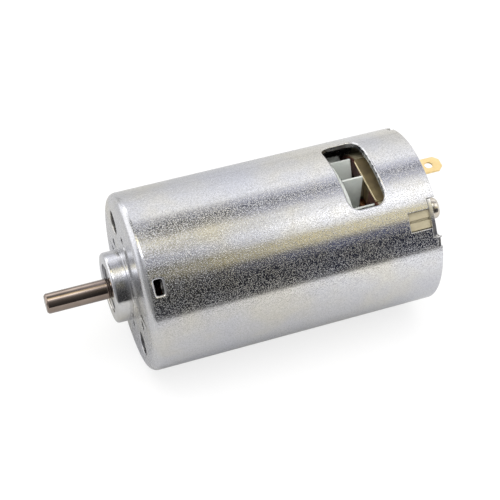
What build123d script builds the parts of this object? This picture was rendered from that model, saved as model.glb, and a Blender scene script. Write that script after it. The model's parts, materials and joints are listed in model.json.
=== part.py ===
from build123d import *
from math import cos, radians, sin
import os

# Brushed permanent-magnet DC motor with a drawn steel can, an internal fan and ball bearings.
# Millimetres. X is the shaft axis and points to the rear, the output shaft points to -X and Z is up.
# The origin is the centre of the can's front face. Angles round the shaft start at +Z and grow
# towards -Y, so 0 is the top, where one brush, one terminal and one cooling window are.

# ---------------------------------------------------------------- driving dimensions
can_radius = 22.25
can_wall = 1.5
can_length = 73.7
front_wall = 1.8
front_corner = 2.0

boss_radius = 8.75
boss_height = 5.0
boss_corner = 0.8
boss_lip = 0.8
boss_opening = 6.0
pad_across = 18.6
pad_along = 17.8
pad_height = 0.35
face_angle = 40.0

shaft_radius = 2.5
shaft_tip = -20.5
shaft_end = 75.3
tip_chamfer = 0.4

bearing_radius = 8.0
bearing_width = 5.0
ball_radius = 1.375
ball_count = 7
ball_pitch = 5.25

window_start = 52.6
window_length = 9.4
window_width = 21.4
window_corner = 2.75

plate_front = 71.6
plate_thickness = 1.0
ear_angle = 45.0
ear_width = 9.6
screw_angle = 39.5
screw_circle = 17.6

magnet_start = 5.6
magnet_end = 51.0
magnet_inner = 18.0
magnet_span = 132.0

core_start = 14.0
core_end = 46.0
core_radius = 17.4
slot_count = 12

fan_start = 53.6
fan_end = 60.1
fan_radius = 18.4
blade_count = 14

brush_length = 6.0
brush_width = 4.5
brush_x = 65.7
brush_top = 12.4
commutator_radius = 6.3
commutator_start = 61.0
commutator_end = 69.6

terminal_height = 15.9
terminal_thickness = 0.6
terminal_tip = 81.2
tab_width = 4.75

fit = 0.01
slide = 0.05

# ---------------------------------------------------------------- derived places
can_bore = can_radius - can_wall
plate_rear = plate_front + plate_thickness
front_bearing_x = boss_lip - boss_height
rear_bearing_x = 70.6
shaft_bore = shaft_radius + fit
slot_pitch = 360 / slot_count
os.makedirs("parts", exist_ok=True)


# ---------------------------------------------------------------- helpers
def save(piece, name):
    """Label a finished piece and write it to its own file."""
    piece.part.label = name
    export_step(piece.part, "parts/" + name + ".step")


def around(x, radius, angle):
    """The plane that faces outward at an angle round the shaft, with its own x along the shaft."""
    a = radians(angle)
    outward = (0, -sin(a), cos(a))
    return Plane(origin=(x, -radius * sin(a), radius * cos(a)), x_dir=(1, 0, 0), z_dir=outward)


def across(x, angle=0.0):
    """The plane square to the shaft at x, facing the rear, with its own y at an angle round the shaft."""
    a = radians(angle)
    return Plane(origin=(x, 0, 0), x_dir=(0, cos(a), sin(a)), z_dir=(1, 0, 0))


def polar(radius, angle):
    """A point of a plane made by across(x), from its radius and its angle round the shaft."""
    a = radians(angle)
    return (-radius * sin(a), radius * cos(a))


def ring_edges(piece, radius, x):
    """The circular edges of a piece that have this radius and lie square to the shaft at x."""
    circles = piece.edges().filter_by(GeomType.CIRCLE)
    return circles.filter_by(lambda e: abs(e.radius - radius) < 0.01 and abs(e.center().X - x) < 0.01)


def lathe(outline, mode=Mode.ADD):
    """Turn an outline of (x, radius) points about the shaft axis, inside the current part."""
    with BuildSketch(Plane.XZ) as section:
        with BuildLine():
            Polyline(*outline, close=True)
        make_face()
    revolve(section.sketch, axis=Axis.X, mode=mode)


def turned(name, outline):
    """A plain turned piece, saved under its own name."""
    with BuildPart() as piece:
        lathe(outline)
    save(piece, name)


def tube(name, start, end, inner, outer):
    """A plain ring or sleeve about the shaft."""
    turned(name, [(start, inner), (start, outer), (end, outer), (end, inner)])


# ---------------------------------------------------------------- can
vent_circle = 15.15
vent_radius = 3.0
mount_circle = 12.5
mount_hole = 1.25
mount_offset = 34.0
register_hole = 0.95
stop_start = 2.8
stop_length = 1.8
stop_width = 3.6
key_start = 66.1
key_width = 4.75
stake_angles = (ear_angle + 16.5, -37.0, ear_angle + 196.5, 143.0)
stake_width = 2.4
stake_depth = 1.1
vent_angle = face_angle - 90

with BuildPart() as motor_can:
    lathe(
        [
            (-boss_height, 0),
            (-boss_height, boss_radius),
            (0, boss_radius),
            (0, can_radius),
            (can_length, can_radius),
            (can_length, 0),
        ]
    )
    fillet(ring_edges(motor_can, can_radius, 0), front_corner)
    fillet(ring_edges(motor_can, boss_radius, -boss_height), boss_corner)
    # the shallow square pad at the foot of the boss
    with BuildSketch(across(0, face_angle)):
        RectangleRounded(pad_along, pad_across, 1.2)
    extrude(amount=-pad_height)
    # inside: shaft opening, bearing seat and the drawn cavity with its corner
    lathe(
        [
            (-boss_height - 1, 0),
            (-boss_height - 1, boss_opening),
            (front_bearing_x, boss_opening),
            (front_bearing_x, bearing_radius + fit),
            (front_wall, bearing_radius + fit),
            (front_wall, can_bore - 1),
            (front_wall + 1, can_bore),
            (can_length + 1, can_bore),
            (can_length + 1, 0),
        ],
        mode=Mode.SUBTRACT,
    )
    # two cooling windows, punched straight through the top and the bottom
    with BuildSketch(Plane.XY.offset(-can_radius - 1)):
        with Locations((window_start + window_length / 2, 0)):
            RectangleRounded(window_length, window_width, window_corner)
    extrude(amount=2 * can_radius + 2, mode=Mode.SUBTRACT)
    # front face: vents, tapped screw holes and register holes
    with BuildSketch(across(-1)):
        with Locations(polar(vent_circle, vent_angle), polar(vent_circle, vent_angle + 180)):
            Circle(vent_radius)
        with Locations(
            polar(mount_circle, vent_angle - mount_offset),
            polar(mount_circle, vent_angle - mount_offset + 180),
        ):
            Circle(mount_hole)
        with Locations(
            polar(mount_circle, vent_angle + mount_offset),
            polar(mount_circle, vent_angle + mount_offset + 180),
        ):
            Circle(register_hole)
    extrude(amount=front_wall + 2, mode=Mode.SUBTRACT)
    # side wall: magnet stops, rear rim recesses and key notches, once on each side
    for side in (ear_angle, ear_angle + 180):
        with BuildSketch(around(stop_start + stop_length / 2, can_bore - 1, side)):
            Rectangle(stop_length, stop_width)
        extrude(amount=can_wall + 2, mode=Mode.SUBTRACT)
        with BuildSketch(around((plate_front + can_length + 1) / 2, can_bore - 2, side)):
            Rectangle(can_length + 1 - plate_front, ear_width)
        extrude(amount=can_wall + 3, mode=Mode.SUBTRACT)
        with BuildSketch(around((key_start + plate_front + 0.5) / 2, can_bore - 1, side)):
            Rectangle(plate_front + 0.5 - key_start, key_width)
        extrude(amount=can_wall + 2, mode=Mode.SUBTRACT)
    # stop tabs pushed in behind the magnet slots
    for side in (ear_angle, ear_angle + 180):
        with BuildSketch(around(stop_start + stop_length + 0.35, can_bore - 1.1, side)):
            Rectangle(0.7, stop_width - 0.4)
        extrude(amount=1.6)
    # the rim is notched and staked inward over the end plate
    for angle in stake_angles:
        with BuildSketch(around(can_length - stake_depth / 2 + 0.5, can_bore + 0.55, angle)):
            Rectangle(stake_depth + 1, stake_width)
        extrude(amount=can_wall, mode=Mode.SUBTRACT)
        with BuildSketch(around((plate_rear + can_length) / 2 - 0.1, can_bore - 0.9, angle)):
            Rectangle(can_length - plate_rear - 0.2, stake_width - 0.2)
        extrude(amount=1.5)
save(motor_can, "motor_can")

# ---------------------------------------------------------------- rear end plate
rear_boss_radius = 9.0
rear_boss_end = 76.7
rear_boss_opening = 5.0
rear_seat_end = 75.9
terminal_slot_width = 6.4
terminal_slot_height = 2.8
terminal_mid = terminal_height + terminal_thickness / 2

with BuildPart() as end_plate:
    lathe([(plate_front, 0), (plate_front, can_bore - slide), (plate_rear, can_bore - slide),
           (plate_rear, rear_boss_radius), (rear_boss_end, rear_boss_radius), (rear_boss_end, 0)])
    fillet(ring_edges(end_plate, rear_boss_radius, rear_boss_end), 0.8)
    fillet(ring_edges(end_plate, rear_boss_radius, plate_rear), 0.4)
    with BuildSketch(across(plate_front)):
        Rectangle(ear_width - 0.2, 2 * can_radius, rotation=ear_angle)
        Circle(can_radius - slide, mode=Mode.INTERSECT)
    extrude(amount=plate_thickness)
    lathe(
        [
            (plate_front - 1, 0),
            (plate_front - 1, bearing_radius + fit),
            (rear_seat_end, bearing_radius + fit),
            (rear_seat_end, rear_boss_opening),
            (rear_boss_end + 1, rear_boss_opening),
            (rear_boss_end + 1, 0),
        ],
        mode=Mode.SUBTRACT,
    )
    with BuildSketch(across(plate_front)):
        with Locations((0, terminal_mid), (0, -terminal_mid)):
            RectangleRounded(terminal_slot_width, terminal_slot_height, 0.6)
        with Locations(polar(screw_circle, screw_angle), polar(screw_circle, screw_angle + 180)):
            Circle(1.6)
        with Locations(polar(15.0, 90), polar(15.0, 270)):
            Circle(2.6)
    extrude(amount=plate_thickness, mode=Mode.SUBTRACT)
save(end_plate, "end_plate")

# ---------------------------------------------------------------- brush housing
tower_start = 60.8
tower_radius = 18.1
tower_bore = 13.5
flange_start = 65.8
flange_radius = can_bore - slide
rear_wall_start = 69.8
rear_wall_bore = 9.2
flat_half_width = 7.5
tube_wall = 0.4
tube_half_x = brush_length / 2 + slide + tube_wall
tube_half_y = brush_width / 2 + slide + tube_wall
tube_foot = 7.6
block_half_width = 3.9
key_radius = 21.3
key_groove = 0.6
collar_end = plate_rear + 0.5

with BuildPart() as brush_housing:
    lathe(
        [
            (tower_start, tower_bore),
            (tower_start, tower_radius - 0.4),
            (tower_start + 0.4, tower_radius),
            (flange_start, tower_radius),
            (flange_start, flange_radius),
            (plate_front, flange_radius),
            (plate_front, rear_wall_bore),
            (rear_wall_start, rear_wall_bore),
            (rear_wall_start, tower_bore),
        ]
    )
    # blocks that carry the brush tubes, above and below the commutator
    for top in (1, -1):
        with BuildSketch(Plane.XY.offset(top * tube_foot)):
            with Locations(((tower_start + rear_wall_start) / 2, 0)):
                Rectangle(rear_wall_start - tower_start, 2 * block_half_width)
        extrude(amount=top * (terminal_height - tube_foot))
    # keys that locate the housing in the can's notches
    for side in (ear_angle, ear_angle + 180):
        with BuildSketch(around((key_start + plate_front) / 2 + 0.1, flange_radius - 1.5, side)):
            Rectangle(plate_front - key_start - 0.2, key_width - 0.3)
        extrude(amount=key_radius - flange_radius + 1.5)
        with BuildSketch(around((key_start + plate_front) / 2, key_radius - 0.7, side)):
            Rectangle(plate_front - key_start, key_groove)
        extrude(amount=1.0, mode=Mode.SUBTRACT)
    # flats for the terminals, and collars that carry them through the end plate
    for top in (1, -1):
        with BuildSketch(Plane.XY.offset(top * terminal_height)):
            with Locations(((tower_start + rear_wall_start) / 2, 0)):
                Rectangle(rear_wall_start - tower_start + 1, 2 * flat_half_width)
        extrude(amount=top * (can_radius - terminal_height), mode=Mode.SUBTRACT)
    with BuildSketch(across(plate_front)):
        with Locations((0, terminal_mid), (0, -terminal_mid)):
            RectangleRounded(terminal_slot_width - 0.2, terminal_slot_height - 0.2, 0.5)
    extrude(amount=collar_end - plate_front)
    with BuildSketch(across(rear_wall_start - 1)):
        with Locations((0, terminal_mid), (0, -terminal_mid)):
            Rectangle(tab_width + 0.04, terminal_thickness + 0.04)
    extrude(amount=collar_end - rear_wall_start + 2, mode=Mode.SUBTRACT)
    # pockets for the brush tubes, open to the front
    for top in (1, -1):
        with BuildSketch(Plane.XY.offset(top * (tube_foot - 1))):
            with Locations((brush_x, 0)):
                Rectangle(2 * tube_half_x + 2 * fit, 2 * tube_half_y + 2 * fit)
            with Locations((tower_start + 0.5, 0)):
                Rectangle(2.5, 2 * tube_half_y)
        extrude(amount=top * (terminal_height - tube_foot + 2), mode=Mode.SUBTRACT)
    # pilot holes for the end screws
    with BuildSketch(across(plate_front)):
        with Locations(polar(screw_circle, screw_angle), polar(screw_circle, screw_angle + 180)):
            Circle(1.3)
    extrude(amount=flange_start - plate_front, mode=Mode.SUBTRACT)
save(brush_housing, "brush_housing")


# ---------------------------------------------------------------- brush gear, top and bottom
spring_radius = 1.5
spring_wire = 0.16
spring_turns = 4
pigtail_radius = 0.45
tab_hole = 1.0
tab_hole_x = 77.9
tab_chamfer = 1.25
terminal_plate_end = 69.2


def brush_gear(side, top):
    """The brush, its tube, spring and pigtail, and the terminal that closes the tube."""
    with BuildPart() as brush_tube:
        with BuildSketch(Plane.XY.offset(top * tube_foot)):
            with Locations((brush_x, 0)):
                RectangleRounded(2 * tube_half_x, 2 * tube_half_y, 0.5)
                RectangleRounded(
                    2 * (tube_half_x - tube_wall), 2 * (tube_half_y - tube_wall), 0.1, mode=Mode.SUBTRACT
                )
        extrude(amount=top * (terminal_height - tube_foot))
    save(brush_tube, "brush_tube_" + side)

    with BuildPart() as brush:
        with BuildSketch(Plane.XY.offset(top * 3)):
            with Locations((brush_x, 0)):
                Rectangle(brush_length, brush_width)
        extrude(amount=top * (brush_top - 3))
        chamfer(brush.edges().group_by(Axis.Z)[-1 if top > 0 else 0], 0.3)
        with BuildSketch(across(brush_x - brush_length)):
            Circle(commutator_radius + 3 * fit)
        extrude(amount=2 * brush_length, mode=Mode.SUBTRACT)
    save(brush, "carbon_brush_" + side)

    coil_foot = brush_top + spring_wire + 0.04
    coil_height = terminal_height - spring_wire - 0.04 - coil_foot
    with BuildPart() as spring:
        with BuildLine() as coil:
            Helix(
                pitch=coil_height / spring_turns,
                height=coil_height,
                radius=spring_radius,
                center=(brush_x, 0, top * coil_foot),
                direction=(0, 0, top),
            )
        with BuildSketch(Plane(origin=coil.line @ 0, z_dir=coil.line % 0)):
            Circle(spring_wire)
        sweep(path=coil.line, is_frenet=True)
    save(spring, "brush_spring_" + side)

    with BuildPart() as pigtail:
        with BuildSketch(Plane.XY.offset(top * brush_top)):
            with Locations((brush_x, 0)):
                Circle(pigtail_radius)
        extrude(amount=top * (terminal_height - brush_top))
    save(pigtail, "brush_pigtail_" + side)

    with BuildPart() as terminal:
        with BuildSketch(Plane.XY.offset(top * terminal_height)):
            with Locations(((tower_start + terminal_plate_end) / 2, 0)):
                RectangleRounded(terminal_plate_end - tower_start, 2 * flat_half_width - 0.2, 0.9)
            with BuildLine():
                Polyline(
                    (terminal_plate_end - 1, tab_width / 2),
                    (terminal_tip - tab_chamfer, tab_width / 2),
                    (terminal_tip, tab_width / 2 - tab_chamfer),
                    (terminal_tip, tab_chamfer - tab_width / 2),
                    (terminal_tip - tab_chamfer, -tab_width / 2),
                    (terminal_plate_end - 1, -tab_width / 2),
                    close=True,
                )
            make_face()
            with Locations((tab_hole_x, 0)):
                Circle(tab_hole, mode=Mode.SUBTRACT)
        extrude(amount=top * terminal_thickness)
    save(terminal, "terminal_" + side)


brush_gear("top", 1)
brush_gear("bottom", -1)

# ---------------------------------------------------------------- end screws and their washers
washer_thickness = 0.8
head_radius = 2.6
head_height = 2.0
recess_depth = 1.1
screw_tip = 66.6
head_seat = plate_rear + washer_thickness
screw_places = (polar(screw_circle, screw_angle), polar(screw_circle, screw_angle + 180))

with BuildPart() as end_screws:
    with BuildSketch(across(head_seat)):
        with Locations(*screw_places):
            Circle(head_radius)
    extrude(amount=head_height)
    fillet(end_screws.edges().group_by(Axis.X)[-1], 0.9)
    with BuildSketch(across(screw_tip)):
        with Locations(*screw_places):
            Circle(1.25)
    extrude(amount=head_seat - screw_tip)
    chamfer(end_screws.edges().group_by(Axis.X)[0], 0.4)
    with BuildSketch(across(head_seat + head_height)):
        with Locations(*screw_places):
            Rectangle(2.6, 0.6)
            Rectangle(0.6, 2.6)
    extrude(amount=-recess_depth, taper=12, mode=Mode.SUBTRACT)
save(end_screws, "end_screws")

with BuildPart() as spring_washers:
    with BuildSketch(across(plate_rear)):
        with Locations(*screw_places):
            Circle(2.5)
            Circle(1.55, mode=Mode.SUBTRACT)
            with Locations((2, 0)):
                Rectangle(2, 0.45, rotation=12, mode=Mode.SUBTRACT)
    extrude(amount=washer_thickness)
save(spring_washers, "spring_washers")

# ---------------------------------------------------------------- magnets and the clips between them
magnet_outer = can_bore - slide


def arc_sector(inner, outer, middle, span):
    """Add an arc-shaped face to the current sketch, from its radii, middle angle and span."""
    start = middle - span / 2
    end = middle + span / 2
    with BuildLine() as rim:
        outside = ThreePointArc(polar(outer, start), polar(outer, middle), polar(outer, end))
        inside = ThreePointArc(polar(inner, start), polar(inner, middle), polar(inner, end))
        Line(outside @ 0, inside @ 0)
        Line(outside @ 1, inside @ 1)
    make_face(rim.edges())


def magnet(name, middle):
    """One arc magnet, bonded to the can wall."""
    with BuildPart() as piece:
        with BuildSketch(across(magnet_start)):
            arc_sector(magnet_inner, magnet_outer, middle, magnet_span)
        extrude(amount=magnet_end - magnet_start)
        chamfer(piece.edges().filter_by(Axis.X), 0.4)
    save(piece, name)


magnet("magnet_top", 0)
magnet("magnet_bottom", 180)

clip_thickness = 0.6
clip_gap = 180 - magnet_span


def magnet_clip(name, middle):
    """A sprung sheet clip that wedges the two magnets apart against their stops."""
    with BuildPart() as piece:
        with BuildSketch(across(magnet_start + 2)):
            arc_sector(magnet_outer - clip_thickness, magnet_outer, middle, clip_gap - 2)
            for end in (-1, 1):
                arc_sector(magnet_inner + 0.6, magnet_outer, middle + end * (clip_gap / 2 - 2), 1.9)
        extrude(amount=magnet_end - magnet_start - 4)
    save(piece, name)


magnet_clip("magnet_clip_near", 90)
magnet_clip("magnet_clip_far", 270)

# ---------------------------------------------------------------- shaft, with a relief behind the output end
relief_start = -4.9
relief_end = -4.3
relief_depth = 0.2
turned(
    "shaft",
    [
        (shaft_tip, 0),
        (shaft_tip, shaft_radius - tip_chamfer),
        (shaft_tip + tip_chamfer, shaft_radius),
        (relief_start, shaft_radius),
        (relief_start, shaft_radius - relief_depth),
        (relief_end, shaft_radius - relief_depth),
        (relief_end, shaft_radius),
        (shaft_end - tip_chamfer, shaft_radius),
        (shaft_end, shaft_radius - tip_chamfer),
        (shaft_end, 0),
    ],
)

# ---------------------------------------------------------------- armature
slot_round = 2.7
slot_middle = 12.6
slot_mouth = 1.6
liner = 0.25
gap = 0.04
overhang_inner = 5.0
overhang_outer = 15.6
insulator = 0.8
front_overhang = 8.0
rear_overhang = 52.3
slot_angles = [slot_pitch * (i + 0.5) for i in range(slot_count)]


def slot_faces(shrink, mode=Mode.ADD):
    """The round part of every winding slot, drawn smaller by shrink."""
    for angle in slot_angles:
        with Locations(polar(slot_middle, angle)):
            Circle(slot_round - shrink, mode=mode)


def lamination(start, end, radius):
    """The slotted star shape of the armature, used for the core and for its end insulators."""
    with BuildSketch(across(start)) as star:
        Circle(radius)
        Circle(shaft_bore, mode=Mode.SUBTRACT)
        slot_faces(0, Mode.SUBTRACT)
        for angle in slot_angles:
            with Locations(polar(core_radius - 1, angle)):
                Rectangle(slot_mouth, 4, rotation=angle, mode=Mode.SUBTRACT)
    extrude(star.sketch, amount=end - start)


with BuildPart() as armature_core:
    lamination(core_start, core_end, core_radius)
save(armature_core, "armature_core")

with BuildPart() as front_insulator:
    lamination(core_start - insulator, core_start, core_radius - 0.6)
save(front_insulator, "front_insulator")

with BuildPart() as rear_insulator:
    lamination(core_end, core_end + insulator, core_radius - 0.6)
save(rear_insulator, "rear_insulator")

with BuildPart() as slot_liners:
    with BuildSketch(across(core_start - insulator)):
        slot_faces(gap)
        slot_faces(gap + liner, Mode.SUBTRACT)
        for angle in slot_angles:
            with Locations(polar(slot_middle + slot_round, angle)):
                Rectangle(slot_mouth + 0.4, 2, rotation=angle, mode=Mode.SUBTRACT)
    extrude(amount=core_end - core_start + 2 * insulator)
save(slot_liners, "slot_liners")

with BuildPart() as armature_winding:
    with BuildSketch(across(front_overhang + 2)):
        slot_faces(2 * gap + liner)
    extrude(amount=rear_overhang - front_overhang - 4)
    for near, far in (
        (core_start - insulator - gap, front_overhang),
        (core_end + insulator + gap, rear_overhang),
    ):
        bulge = 0.35 * (far - near)
        lathe(
            [
                (near, overhang_inner),
                (near, overhang_outer),
                (far - bulge, overhang_outer),
                (far, overhang_outer - 2.2),
                (far, overhang_inner + 1.2),
                (far - bulge, overhang_inner),
            ]
        )
save(armature_winding, "armature_winding")

# ---------------------------------------------------------------- commutator and the leads to it
bar_inner = 4.6
bar_gap = 0.4
hook_radius = 7.2
hook_end = commutator_start + 1.0
lead_circle = 5.5
lead_radius = 0.4

with BuildPart() as commutator_bars:
    lathe(
        [
            (commutator_start, bar_inner),
            (commutator_start, hook_radius),
            (hook_end, hook_radius),
            (hook_end, commutator_radius),
            (commutator_end, commutator_radius),
            (commutator_end, bar_inner),
        ]
    )
    with BuildSketch(across(commutator_start - 1)):
        for angle in slot_angles:
            with Locations(polar(commutator_radius, angle)):
                Rectangle(bar_gap, 6, rotation=angle)
    extrude(amount=commutator_end - commutator_start + 2, mode=Mode.SUBTRACT)
save(commutator_bars, "commutator_bars")

tube("commutator_hub", commutator_start - 0.2, commutator_end + 0.1, shaft_bore, bar_inner - fit)

lead_angles = [slot_pitch * i for i in range(slot_count)]
with BuildPart() as coil_leads:
    with BuildSketch(across(rear_overhang)):
        for angle in lead_angles:
            with Locations(polar(lead_circle, angle)):
                Circle(lead_radius)
    extrude(amount=commutator_start - rear_overhang)
save(coil_leads, "coil_leads")

# ---------------------------------------------------------------- cooling fan
fan_hub_radius = 7.0
fan_disc = 1.0
blade_thickness = 0.9

with BuildPart() as cooling_fan:
    lathe(
        [
            (fan_start, shaft_bore),
            (fan_start, fan_radius),
            (fan_start + fan_disc, fan_radius),
            (fan_start + fan_disc, fan_hub_radius),
            (fan_end, fan_hub_radius),
            (fan_end, shaft_bore),
        ]
    )
    with BuildSketch(across(fan_start)):
        for i in range(blade_count):
            angle = 360 / blade_count * i
            with Locations(polar((fan_hub_radius + fan_radius) / 2 - 0.3, angle)):
                Rectangle(blade_thickness, fan_radius - fan_hub_radius + 0.5, rotation=angle)
        Circle(fan_radius, mode=Mode.INTERSECT)
    extrude(amount=fan_end - fan_start)
    with BuildSketch(across(fan_start - 1)):
        for angle in lead_angles:
            with Locations(polar(lead_circle, angle)):
                Circle(lead_radius + 0.35)
    extrude(amount=fan_end - fan_start + 2, mode=Mode.SUBTRACT)
save(cooling_fan, "cooling_fan")

# ---------------------------------------------------------------- collars that space the rotor
front_bearing_end = front_bearing_x + bearing_width
tube("front_spacer", front_bearing_end, core_start - insulator, shaft_bore, 4.0)
tube("rear_spacer", commutator_end + 0.1, rear_bearing_x, shaft_bore, 4.0)
tube("rear_wave_washer", rear_bearing_x + bearing_width + 0.02, rear_seat_end - 0.02, 5.8, 7.7)

# ---------------------------------------------------------------- ball bearings
inner_ring_radius = 4.3
outer_ring_bore = 6.2
shield_seat = 6.9
groove_radius = ball_radius + 0.045
shield_start = 0.15
shield_thickness = 0.25
cage_half_width = 1.75


def bearing(side, start):
    """A shielded ball bearing: two rings, two shields, the balls and their cage."""
    end = start + bearing_width
    middle = (start + end) / 2
    ball_angles = [360 / ball_count * i for i in range(ball_count)]
    step = shield_start + shield_thickness
    with BuildPart() as outer_ring:
        lathe(
            [
                (start, shield_seat),
                (start, bearing_radius - 0.3),
                (start + 0.3, bearing_radius),
                (end - 0.3, bearing_radius),
                (end, bearing_radius - 0.3),
                (end, shield_seat),
                (end - step, shield_seat),
                (end - step, outer_ring_bore),
                (start + step, outer_ring_bore),
                (start + step, shield_seat),
            ]
        )
        with BuildSketch(Plane.XZ):
            with Locations((middle, ball_pitch)):
                Circle(groove_radius)
        revolve(axis=Axis.X, mode=Mode.SUBTRACT)
    save(outer_ring, side + "_bearing_outer_ring")

    with BuildPart() as inner_ring:
        lathe(
            [
                (start, shaft_bore),
                (start, inner_ring_radius - 0.2),
                (start + 0.2, inner_ring_radius),
                (end - 0.2, inner_ring_radius),
                (end, inner_ring_radius - 0.2),
                (end, shaft_bore),
            ]
        )
        with BuildSketch(Plane.XZ):
            with Locations((middle, ball_pitch)):
                Circle(groove_radius)
        revolve(axis=Axis.X, mode=Mode.SUBTRACT)
    save(inner_ring, side + "_bearing_inner_ring")

    with BuildPart() as shields:
        for near in (start + shield_start, end - step):
            lathe(
                [
                    (near, inner_ring_radius + 0.3),
                    (near, shield_seat - fit),
                    (near + shield_thickness, shield_seat - fit),
                    (near + shield_thickness, inner_ring_radius + 0.3),
                ]
            )
    save(shields, side + "_bearing_shields")

    with BuildPart() as balls:
        with Locations(*[around(middle, ball_pitch, angle) for angle in ball_angles]):
            Sphere(ball_radius)
    save(balls, side + "_bearing_balls")

    with BuildPart() as cage:
        lathe(
            [
                (middle - cage_half_width, ball_pitch - 0.45),
                (middle - cage_half_width, ball_pitch + 0.45),
                (middle + cage_half_width, ball_pitch + 0.45),
                (middle + cage_half_width, ball_pitch - 0.45),
            ]
        )
        for angle in ball_angles:
            with BuildSketch(around(middle, ball_pitch - 1, angle)):
                Circle(groove_radius)
            extrude(amount=2, mode=Mode.SUBTRACT)
    save(cage, side + "_bearing_cage")


bearing("front", front_bearing_x)
bearing("rear", rear_bearing_x)
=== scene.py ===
"""Studio picture of a brushed DC motor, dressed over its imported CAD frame. Metres, X along the shaft, Z up."""

import json
from math import asin, atan2, cos, degrees, hypot, pi, radians, sin

import bmesh
import bpy
from mathutils import Euler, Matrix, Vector, kdtree
from mathutils.geometry import delaunay_2d_cdt


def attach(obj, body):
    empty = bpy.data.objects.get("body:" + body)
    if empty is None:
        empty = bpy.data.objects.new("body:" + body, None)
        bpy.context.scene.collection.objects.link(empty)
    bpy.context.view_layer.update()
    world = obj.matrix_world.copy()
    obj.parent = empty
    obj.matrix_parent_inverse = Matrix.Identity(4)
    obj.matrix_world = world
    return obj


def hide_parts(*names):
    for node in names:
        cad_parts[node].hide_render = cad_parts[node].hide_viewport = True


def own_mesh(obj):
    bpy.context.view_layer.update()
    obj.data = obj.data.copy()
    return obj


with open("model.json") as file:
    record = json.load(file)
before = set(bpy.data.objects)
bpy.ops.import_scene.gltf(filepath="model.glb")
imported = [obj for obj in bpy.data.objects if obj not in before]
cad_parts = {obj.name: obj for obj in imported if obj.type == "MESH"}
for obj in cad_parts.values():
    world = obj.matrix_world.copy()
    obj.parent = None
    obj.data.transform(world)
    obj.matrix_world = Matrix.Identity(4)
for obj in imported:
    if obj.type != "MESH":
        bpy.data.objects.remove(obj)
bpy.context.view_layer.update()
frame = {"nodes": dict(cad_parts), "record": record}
MM = 0.001
slot_of = {name: cad.data.materials[0].name for name, cad in frame["nodes"].items()}


# ---------------------------------------------------------------- materials
class Shader:
    """A material built from nodes, with short calls for the textures that every finish here uses."""

    def __init__(self, name):
        self.material = bpy.data.materials.new(name)
        self.material.use_nodes = True
        self.tree = self.material.node_tree
        self.tree.nodes.clear()
        self.output = self.node("ShaderNodeOutputMaterial")
        self.surface = self.node("ShaderNodeBsdfPrincipled")
        self.tree.links.new(self.surface.outputs[0], self.output.inputs[0])
        self.place = self.node("ShaderNodeTexCoord").outputs["Object"]
        self.last_bump = None

    def node(self, kind, **values):
        made = self.tree.nodes.new(kind)
        for key, value in values.items():
            if hasattr(made, key):
                setattr(made, key, value)
            else:
                made.inputs[key.replace("_", " ")].default_value = value
        return made

    def link(self, out, into):
        self.tree.links.new(out, into)

    def stretched(self, x, y, z):
        mapping = self.node("ShaderNodeMapping")
        mapping.inputs["Scale"].default_value = (x, y, z)
        self.link(self.place, mapping.inputs["Vector"])
        return mapping.outputs[0]

    def noise(self, scale, detail=3.0, rough=0.5, place=None):
        made = self.node("ShaderNodeTexNoise")
        made.inputs["Scale"].default_value = scale
        made.inputs["Detail"].default_value = detail
        made.inputs["Roughness"].default_value = rough
        self.link(place or self.place, made.inputs["Vector"])
        return made.outputs["Fac"]

    def remap(self, value, before, after=(0.0, 1.0), curve="LINEAR"):
        """Carry one range of a value over to another, clamped at both ends."""
        made = self.node("ShaderNodeMapRange", interpolation_type=curve)
        for key, level in zip(("From Min", "From Max", "To Min", "To Max"), (*before, *after)):
            made.inputs[key].default_value = level
        self.link(value, made.inputs["Value"])
        return made.outputs[0]

    def coordinate(self, axis):
        split = self.node("ShaderNodeSeparateXYZ")
        self.link(self.place, split.inputs[0])
        return split.outputs[axis]

    def along(self, low, high):
        """0 up to one place along the shaft and 1 from the next on, in millimetres."""
        return self.remap(self.coordinate("X"), (low * MM, high * MM))

    def ramp(self, factor, *stops):
        made = self.node("ShaderNodeValToRGB")
        steps = made.color_ramp.elements
        while len(steps) < len(stops):
            steps.new(0.5)
        for step, (at, tone) in zip(steps, stops):
            step.position = at
            step.color = (*tone, 1) if hasattr(tone, "__len__") else (tone, tone, tone, 1)
        self.link(factor, made.inputs["Fac"])
        return made.outputs["Color"]

    def mix(self, factor, one, other, blend="MIX"):
        made = self.node("ShaderNodeMix", data_type="RGBA", blend_type=blend)
        for socket, value in ((made.inputs[0], factor), (made.inputs[6], one), (made.inputs[7], other)):
            if isinstance(value, bpy.types.NodeSocket):
                self.link(value, socket)
            elif hasattr(value, "__len__"):
                socket.default_value = (*value, 1)
            else:
                socket.default_value = value
        return made.outputs[2]

    def bump(self, height, distance, strength=1.0):
        made = self.node("ShaderNodeBump")
        if isinstance(strength, bpy.types.NodeSocket):
            self.link(strength, made.inputs["Strength"])
        else:
            made.inputs["Strength"].default_value = strength
        made.inputs["Distance"].default_value = distance
        self.link(height, made.inputs["Height"])
        if self.last_bump is not None:
            self.link(self.last_bump, made.inputs["Normal"])
        self.last_bump = made.outputs[0]
        self.link(self.last_bump, self.surface.inputs["Normal"])

    def set(self, **values):
        for key, value in values.items():
            socket = self.surface.inputs[key.replace("_", " ").title().replace("Ior", "IOR")]
            if isinstance(value, bpy.types.NodeSocket):
                self.link(value, socket)
            elif hasattr(value, "__len__"):
                socket.default_value = (*value, 1)
            else:
                socket.default_value = value
        return self


def finish_of(name, dark, light, mottle, metallic, rough, grain, depth):
    """A finish with two mottled tones, uneven roughness and a fine grain. Sizes are in metres."""
    s = Shader(name)
    patches = s.noise(1 / mottle, 4, 0.6)
    s.set(base_color=s.ramp(patches, (0.35, dark), (0.65, light)), metallic=metallic)
    low, high = rough
    s.set(roughness=s.ramp(s.noise(3.1 / mottle, 3), (0.3, low), (0.7, high)))
    s.bump(s.noise(1 / grain, 3, 0.55), depth)
    return s


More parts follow.
